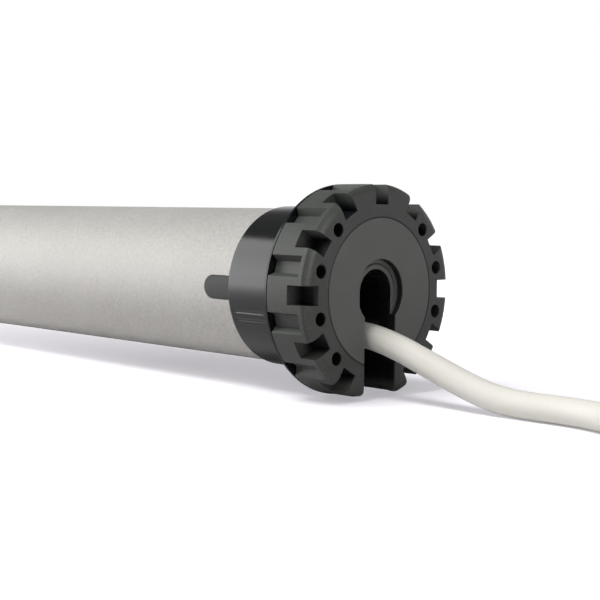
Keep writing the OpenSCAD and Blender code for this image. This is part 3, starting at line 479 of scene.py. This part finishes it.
def surface(name, colour, rough, grain=2000.0, clouds=60.0, variation=0.08, speckle=0.05, relief=0.02,
            rough_spread=0.08, wear=0.4, worn=None, recessed=None, sink=(), **constants):
    """A finish: colour clouds, fine relief, roughness that varies with the grain, and worn edges with a
    painted highlight.

    variation and speckle are the colour's spread with the clouds and with the grain, as shares.
    relief is the bump's height in millimetres, the shade colour is painted as shade deep inside the
    head's openings and along the plate's seam, sink the millimetres behind the face where that painted
    shade starts and is full, with the place and radius of a floor that keeps its own, and the constants
    go on the shader's own sockets.
    """
    material = bpy.data.materials.new(name)
    material.use_nodes = True
    tree = material.node_tree
    shader = tree.nodes["Principled BSDF"]
    for label, value in constants.items():
        shader.inputs[label.replace("_", " ").title().replace("Ior", "IOR")].default_value = value
    look = add_node(tree, "ShaderNodeGroup", {"Scale": grain, "Clouds": clouds}, node_tree=GRAIN).outputs
    clouded = blend(tree, look["Mottle"], [c * (1 - variation) for c in colour],
                    [min(1, c * (1 + variation)) for c in colour])
    grained = blend(tree, look["Grain"], [1 - speckle] * 3, [1 + speckle] * 3)
    speckled = blend(tree, 1.0, clouded, grained, blend_type="MULTIPLY")
    # Worn edges: lighter from wear and from a painted highlight on the rounds
    edge_wear_and_light = add_node(tree, "ShaderNodeGroup", {"Amount": wear}, node_tree=EDGE_WEAR_AND_HIGHLIGHT)
    shade = blend(tree, edge_wear_and_light.outputs["Wear"], speckled,
                  worn or [min(1, c * WORN_AND_LIT_GAIN + WORN_AND_LIT_LIFT) for c in colour])
    # Painted shade: the shade colour goes deep in the head's openings and along the plate's seam
    if recessed:
        limits = {label: value * MM for label, value in zip(("Start", "End", "Floor", "Inner"), sink)}
        painted_shade_mask = add_node(tree, "ShaderNodeGroup", limits, node_tree=PAINTED_SHADE_GROUP)
        shade = blend(tree, painted_shade_mask.outputs["PaintedShade"], shade, recessed)
    tree.links.new(shade, shader.inputs["Base Color"])
    smoothest, roughest = max(LEAST_ROUGH, rough - rough_spread), min(1, rough + rough_spread)
    tree.links.new(ramp(tree, look["Grain"], low=smoothest, high=roughest), shader.inputs["Roughness"])
    bump = add_node(tree, "ShaderNodeBump",
                    {"Strength": 1.0, "Distance": relief * MM, "Height": look["Grain"]})
    tree.links.new(bump.outputs[0], shader.inputs["Normal"])
    return material


# Finishes: a row's name is its material's name and, but for the cores', the record's slot
# Painted shade: a near-black colour painted deep in the head's openings and along the plate's seam
PAINTED_SHADE_COLOUR = (0.006, 0.007, 0.008)
LOOKS = {
    "head_plastic": dict(colour=(0.059, 0.0635, 0.057), rough=0.42, grain=1500, relief=0.02, speckle=0.22,
                         wear=0.6, worn=(0.19, 0.20, 0.185), recessed=PAINTED_SHADE_COLOUR, sink=(0.15, 0.6),
                         specular_ior_level=0.32),
    "plate_plastic": dict(colour=(0.098, 0.105, 0.093), rough=0.48, grain=2000, relief=0.012, wear=0.3,
                          recessed=PAINTED_SHADE_COLOUR, sink=(0.15, 0.5, 2.0, 8.9)),
    "inner_plastic": dict(colour=(0.006, 0.007, 0.0085), rough=0.2, grain=1500, relief=0.004,
                          rough_spread=0.03, wear=0.2),
    "crown_plastic": dict(colour=(0.005, 0.006, 0.005), rough=0.18, grain=1200, relief=0.002,
                          rough_spread=0.03, wear=0.2, variation=0.05, ior=1.6),
    "tube_steel": dict(colour=(0.505, 0.495, 0.465), rough=0.6, grain=1000, relief=0.02, variation=0.03,
                       speckle=0.15, rough_spread=0.12, wear=0.2, metallic=0.35),
    "screw_steel": dict(colour=(0.60, 0.60, 0.58), rough=0.32, grain=900, relief=0.005, metallic=1.0),
    "cable_pvc": dict(colour=(0.75, 0.735, 0.67), rough=0.34, grain=900, clouds=25, relief=0.006,
                      variation=0.01, speckle=0.02, rough_spread=0.03, wear=0.0,
                      sheen_weight=0.4, sheen_roughness=0.4),
    "tie_nylon": dict(colour=(0.02, 0.02, 0.02), rough=0.38, relief=0.006),
    "gear_nylon": dict(colour=(0.74, 0.71, 0.60), rough=0.4, relief=0.01),
    "magnet_ferrite": dict(colour=(0.05, 0.05, 0.052), rough=0.6, relief=0.01, metallic=0.4),
    "board_laminate": dict(colour=(0.02, 0.13, 0.06), rough=0.3, grain=3000, relief=0.004),
    "carrier_plastic": dict(colour=(0.13, 0.135, 0.14), rough=0.5),
    "relay_plastic": dict(colour=(0.02, 0.07, 0.3), rough=0.4),
    "transformer_core": dict(colour=(0.10, 0.09, 0.07), rough=0.55, relief=0.01),
    "capacitor_can": dict(colour=(0.015, 0.015, 0.017), rough=0.3),
    "run_capacitor_case": dict(colour=(0.7, 0.7, 0.66), rough=0.35),
    "rubber": dict(colour=(0.012, 0.012, 0.012), rough=0.75, relief=0.03),
    "shield_aluminium": dict(colour=(0.55, 0.56, 0.57), rough=0.45, grain=900, relief=0.03, metallic=1.0),
    "lamination_steel": dict(colour=(0.22, 0.22, 0.23), rough=0.42, relief=0.01, metallic=1.0),
    "winding_copper": dict(colour=(0.58, 0.24, 0.09), rough=0.33, grain=700, relief=0.05, metallic=0.9),
    "shaft_steel": dict(colour=(0.6, 0.6, 0.6), rough=0.22, grain=800, relief=0.002, metallic=1.0),
    "bearing_steel": dict(colour=(0.68, 0.68, 0.69), rough=0.12, relief=0.001, metallic=1.0),
    "friction_lining": dict(colour=(0.06, 0.045, 0.03), rough=0.8, relief=0.03),
    "ring_steel": dict(colour=(0.2, 0.2, 0.2), rough=0.5, relief=0.02, metallic=0.9),
    "planet_metal": dict(colour=(0.55, 0.38, 0.14), rough=0.35, relief=0.008, metallic=1.0),
    "bronze": dict(colour=(0.42, 0.24, 0.09), rough=0.4, relief=0.02, metallic=1.0),
    "cap_plastic": dict(colour=(0.042, 0.045, 0.040), rough=0.45, relief=0.012, specular_ior_level=0.32),
    "wheel_plastic": dict(colour=(0.028, 0.028, 0.028), rough=0.42, relief=0.012),
    "core_brown": dict(colour=(0.16, 0.06, 0.02), rough=0.35, relief=0.004),
    "core_blue": dict(colour=(0.02, 0.10, 0.42), rough=0.35, relief=0.004),
    "core_black": dict(colour=(0.012, 0.012, 0.012), rough=0.35, relief=0.004),
    "core_green": dict(colour=(0.10, 0.42, 0.05), rough=0.35, relief=0.004),
}
FINISH = {name: surface(name, **look) for name, look in LOOKS.items()}
FINISH["core_wires"] = FINISH["core_black"]
for node_name, node_object in frame["nodes"].items():
    node_object.data.materials.clear()
    node_object.data.materials.append(FINISH[slot_of_node(node_name)])


# Camera

def photo_camera():
    """The photograph's camera: its axes from turn, tilt and roll, its lens from the fitted focal length."""
    turn, down, roll = (math.radians(a) for a in (CAMERA_TURN, CAMERA_DOWN, CAMERA_ROLL))
    back = Vector((math.sin(turn) * math.cos(down), -math.cos(turn) * math.cos(down), math.sin(down)))
    side = Vector((math.cos(turn), math.sin(turn), 0))
    upright = side.cross(-back)
    right = side * math.cos(roll) + upright * math.sin(roll)
    up = upright * math.cos(roll) - side * math.sin(roll)
    data = bpy.data.cameras.new("photo_camera")
    data.sensor_width = SENSOR
    data.lens = FOCAL_PIXELS / PHOTO_PIXELS * SENSOR
    data.clip_start = NEAREST_SEEN * MM
    camera = new_object("photo_camera", data)
    placed = Matrix((right, up, back)).transposed().to_4x4()
    placed.translation = Vector(CAMERA_AT) * MM
    camera.matrix_world = placed
    bpy.context.scene.camera = camera


# Cable

def coil_point(t):
    """The coil at turn t: its radius falls by a pitch a turn in even layers and grows again in odd ones.

    It rises by a layer in the RISE_TURNS round each place where the radius turns back.
    """
    t = np.asarray(t, float)
    layer = np.floor(t / LAYER_TURNS)
    done = t - layer * LAYER_TURNS
    radius = COIL_R - COIL_PITCH * np.where(layer % 2 == 0, done, LAYER_TURNS - done)
    angle = COIL_START + TAU * t
    x, y = COIL_CENTRE[0] + radius * np.cos(angle), COIL_CENTRE[1] + radius * np.sin(angle)
    rises = ((t - k * LAYER_TURNS + RISE_TURNS / 2) / RISE_TURNS for k in range(1, LAYERS))
    return np.stack([x, y, COIL_Z + LAYER_STEP * sum(smooth_step(rise) for rise in rises)], 1)


def cable_line():
    """The cable's centreline: the free stretch, the coil, and one diameter straight on.

    Its heading at the end is level, along the coil's last hundredth of a turn.
    """
    turns = COIL_STEPS / TURN_POINTS
    loops = coil_point(np.arange(COIL_STEPS + 1) / TURN_POINTS)
    way = (coil_point([turns]) - coil_point([turns - 0.01]))[0]
    way[2] = 0
    way /= np.linalg.norm(way)
    return np.vstack([ROUTE, loops, loops[-1] + way * CABLE_D]), way


def make_cable():
    """The cable as one open curve through its centreline's points, with a round section."""
    line, way = cable_line()
    data = bpy.data.curves.new("supply_cord", "CURVE")
    data.dimensions = "3D"
    data.bevel_depth = CABLE_D / 2 * MM
    data.bevel_resolution = CABLE_RING
    data.resolution_u = CABLE_STEPS
    data.use_fill_caps = True
    spline = data.splines.new("BEZIER")
    spline.bezier_points.add(len(line) - 1)
    spline.bezier_points.foreach_set("co", (line * MM).ravel())
    for point in spline.bezier_points:
        point.handle_left_type = point.handle_right_type = "AUTO"
    cord = new_object("supply_cord", data)
    dress(cord, "motor_body", "cable_pvc", FINISH["cable_pvc"], "supply_cable", "cable_coil")
    length = np.linalg.norm(np.diff(line, axis=0), axis=1).sum() * MM
    return cord, length, line[-1], way


def make_cores(start, way):
    """Four insulated cores that fan out of the sheath and lie on the coil, each in a ferrule."""
    across = np.array([-way[1], way[0], 0])
    s = np.linspace(0, 1, CORE_POINTS)[:, None]
    fan, fall = smooth_step(s * FAN_RATE), smooth_step((s - FALL_FROM) / (1 - FALL_FROM))
    drop = start[2] - (COIL_Z + 2 * LAYER_STEP + CABLE_D / 2 + FERRULE_R + CORE_LIFT)
    middle = (len(CORES) - 1) / 2
    cores = []
    for k, name in enumerate(CORES):
        aside = -CORE_ASIDE if k < 2 else CORE_ASIDE
        above = -CORE_ASIDE if k in (0, 3) else CORE_ASIDE
        path = (start + way * CORE_LEN * s
                + across * (aside * (1 - fan) + (k - middle) * CORE_SPREAD * fan + CORE_BEND * s * s)
                + np.array([0, 0, 1]) * (above * (1 - fall) - drop * fall))
        core = new_piece(name, *tube_along(path, CORE_R))
        cores.append(dress(core, "motor_body", "core_wires", FINISH[name]))
        out = path[-1] - path[-2]
        out[2] = 0
        out /= np.linalg.norm(out)
        pin = path[-1] + np.array(FERRULE_AT)[:, None] * out
        ferrule = new_piece(name + "_ferrule", *tube_along(pin, FERRULE_RADII))
        cores.append(dress(ferrule, "motor_body", "core_wires", FINISH["screw_steel"]))
    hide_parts("cable_cores")
    return cores


def make_ties():
    """Two flat ties round the coil, each drawn close about the strands that it holds.

    For each heading n in the tie's plane, the band's outside is at c + R n, where c is the centre of
    the strand that lies furthest that way. Its section has eight points, moved in by up to the tie's
    thickness and across by its width, with the corners taken off by TIE_CORNER.
    """
    off, half = TIE_CORNER, TIE_W / 2
    depth = np.array([0, 0, -off, -TIE_T + off, -TIE_T, -TIE_T, -TIE_T + off, -off])
    side = np.array([-half + off, half - off, half, half, half - off, -half + off, -half, -half])
    turn = np.arange(TIE_STEPS) * TAU / TIE_STEPS
    away = np.stack([np.cos(turn), np.sin(turn)], 1)
    outside = CABLE_D / 2 + TIE_SLACK + TIE_T
    pieces = []
    for name, degrees in TIE_ANGLES.items():
        angle = math.radians(degrees)
        first = (angle - COIL_START) / TAU % 1
        strands = coil_point(np.arange(first, COIL_STEPS / TURN_POINTS, 1))
        reach = np.hypot(strands[:, 0] - COIL_CENTRE[0], strands[:, 1] - COIL_CENTRE[1])
        centres = np.stack([reach, strands[:, 2]], 1)
        furthest = centres[(centres @ away.T).argmax(0)]
        flat = furthest[:, None] + away[:, None] * (outside + depth)[None, :, None]
        out = np.array([math.cos(angle), math.sin(angle), 0])
        along = np.array([-out[1], out[0], 0])
        points = (flat[..., :1] * out + flat[..., 1:] * np.array([0, 0, 1]) + side[None, :, None] * along
                  + np.array([*COIL_CENTRE, 0]))
        faces = grid_faces(len(turn), len(depth), wrap_rows=True, wrap_columns=True)
        tie = new_piece(name, points.reshape(-1, 3), faces)
        pieces.append(dress(tie, "motor_body", "tie_nylon", FINISH["tie_nylon"]))
    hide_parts("coil_ties")
    return pieces


# Limit crown

def arc(x, r, x_size, r_size, start, end, count):
    """Points of an arc in a profile, (x + x_size sin a, r + r_size cos a) for a from start to end."""
    turns = [math.radians(a) for a in np.linspace(start, end, count)]
    return [(x + x_size * math.sin(a), r + r_size * math.cos(a)) for a in turns]


def make_crown():
    """The crown: a closed profile turned about the axis, with two shallow grooves let into its side.

    A point of the profile at length x and radius r is at (x, r cos a, r sin a) for each angle a. A
    groove lowers r by its depth times a bump across the angle and a bump along the length.
    """
    neck = CROWN_FRONT - COLLAR_W
    edge = CROWN_ROUND
    foot_r = CROWN_R + FOOT_H
    foot = [math.sin(math.radians(a)) for a in np.linspace(0, 90, 7)]
    straight = CROWN_REAR + edge - neck + edge
    profile = [(CROWN_FRONT, CROWN_BORE_R)]
    profile += arc(CROWN_FRONT - edge, COLLAR_R - edge, edge, edge, 90, 0, 7)
    profile += arc(neck + COLLAR_SLOPE, foot_r, -COLLAR_SLOPE, COLLAR_R - CROWN_R - FOOT_H, 0, 90, 9)
    profile += [(neck - FOOT_W * s, CROWN_R + FOOT_H * (1 - s)) for s in foot]
    profile += [(neck - edge + straight * t, CROWN_R) for t in np.linspace(0.02, 1, 25)]
    profile += arc(CROWN_REAR + edge, CROWN_R - edge, -edge, edge, 15, 90, 6)
    profile += [(CROWN_REAR, CROWN_BORE_R)]
    x, r = np.array(profile).T
    angle = np.arange(CROWN_TURNS) * TAU / CROWN_TURNS
    radius = np.broadcast_to(r[:, None], (len(r), CROWN_TURNS)).copy()
    along = (smooth_step((x - CROWN_REAR - GROOVE_FROM_END) / GROOVE_RISE)
             * smooth_step((neck - GROOVE_FROM_END - x) / GROOVE_RISE))
    side = (r > CROWN_R - 0.01).astype(float)
    for centre in GROOVE_ANGLES:
        off = np.abs((np.degrees(angle) - centre + 180) % 360 - 180)
        across = 1 - smooth_step((off - GROOVE_HALF) / GROOVE_FLANK)
        radius -= GROOVE_DEPTH * (along * side)[:, None] * across[None]
    lengths = np.broadcast_to(x[:, None], radius.shape)
    points = np.stack([lengths, radius * np.cos(angle), radius * np.sin(angle)], -1).reshape(-1, 3)
    faces = grid_faces(len(x), CROWN_TURNS, wrap_rows=True, wrap_columns=True)[:, ::-1]
    crown = new_piece("limit_ring", points, faces)
    return dress(crown, "limit_crown", "crown_plastic", FINISH["crown_plastic"], "crown")


# Stage

def table_material():
    """White paint that glows for the camera and for shiny surfaces.

    The glow is weak near the motor, so that its shadow shows, and shiny surfaces see a darker
    paint there, a painted darker reflection.
    """
    material = bpy.data.materials.new("table_white")
    material.use_nodes = True
    tree = material.node_tree
    shader = tree.nodes["Principled BSDF"]
    shader.inputs["Roughness"].default_value = TABLE_ROUGH
    shader.inputs["Emission Color"].default_value = TABLE_GLOW
    far = length_of(tree, add_node(tree, "ShaderNodeTexCoord").outputs["Object"])
    ray = add_node(tree, "ShaderNodeLightPath").outputs
    # Painted reflection: shiny surfaces see a darker paint near the motor
    reflection_shade = calc(tree, "MULTIPLY", ray["Is Glossy Ray"], ramp(tree, far, *REFLECTION_SHADE_RAMP))
    tree.links.new(blend(tree, reflection_shade, TABLE_PAINT, REFLECTION_SHADE_PAINT), shader.inputs["Base Color"])
    seen = calc(tree, "MULTIPLY", ray["Is Camera Ray"], ramp(tree, far, *GLOW_RAMP))
    glow = calc(tree, "MULTIPLY_ADD", ray["Is Glossy Ray"], ramp(tree, far, *MIRROR_RAMP), seen)
    tree.links.new(glow, shader.inputs["Emission Strength"])
    return material


def make_room():
    """The room's light: white to the camera, a backdrop to shiny surfaces, and even and dim to others."""
    world = bpy.data.worlds.new("white_room")
    bpy.context.scene.world = world
    world.use_nodes = True
    tree = world.node_tree
    ray = add_node(tree, "ShaderNodeLightPath").outputs
    heading = add_node(tree, "ShaderNodeTexCoord").outputs["Generated"]
    sideways = add_node(tree, "ShaderNodeVectorMath", {0: heading, 1: BACKDROP_WAY},
                        operation="DOT_PRODUCT")
    height = add_node(tree, "ShaderNodeSeparateXYZ", {0: heading})
    backdrop = calc(tree, "MULTIPLY", ramp(tree, sideways.outputs["Value"], *BACKDROP_SIDES),
                    ramp(tree, height.outputs["Z"], *BACKDROP_TOP))
    shiny = calc(tree, "MULTIPLY", backdrop, ray["Is Glossy Ray"])
    ambient = tree.nodes["Background"]
    ambient.inputs["Color"].default_value = ROOM_TINT
    tree.links.new(ramp(tree, shiny, low=AMBIENT, high=MIRRORED_WHITE), ambient.inputs["Strength"])
    white = add_node(tree, "ShaderNodeBackground", {"Color": (1, 1, 1, 1), "Strength": 1.0})
    choice = add_node(tree, "ShaderNodeMixShader",
                      {0: ray["Is Camera Ray"], 1: ambient.outputs[0], 2: white.outputs[0]})
    tree.links.new(choice.outputs[0], tree.nodes["World Output"].inputs["Surface"])


def make_stage():
    """A white table, a white room and four rectangular lamps, none of them part of the motor."""
    corners = [(x * TABLE_REACH, y * TABLE_REACH, FLOOR_Z) for x, y in ((-1, -1), (1, -1), (1, 1), (-1, 1))]
    table = new_piece("table", corners, [(0, 1, 2, 3)])
    table.data.materials.append(table_material())
    make_room()
    for name, (size, at, aim, power, blind) in LAMPS.items():
        data = bpy.data.lights.new(name, "AREA")
        data.shape = "RECTANGLE"
        data.size, data.size_y = size
        data.energy = power
        lamp = new_object(name, data)
        lamp.location = at
        lamp.rotation_euler = (Vector(aim) - Vector(at)).to_track_quat("-Z", "Y").to_euler()
        if blind:
            setattr(lamp, blind, False)


photo_camera()
supply_cord, cord_length, cord_end, cord_way = make_cable()
core_pieces = make_cores(cord_end, cord_way)
tie_pieces = make_ties()

for node_name, (round_width, round_within) in ROUNDS.items():
    softened(node_name, round_width, round_within)
make_crown()
make_stage()

bpy.context.scene.view_settings.view_transform = "Standard"

bpy.context.view_layer.update()
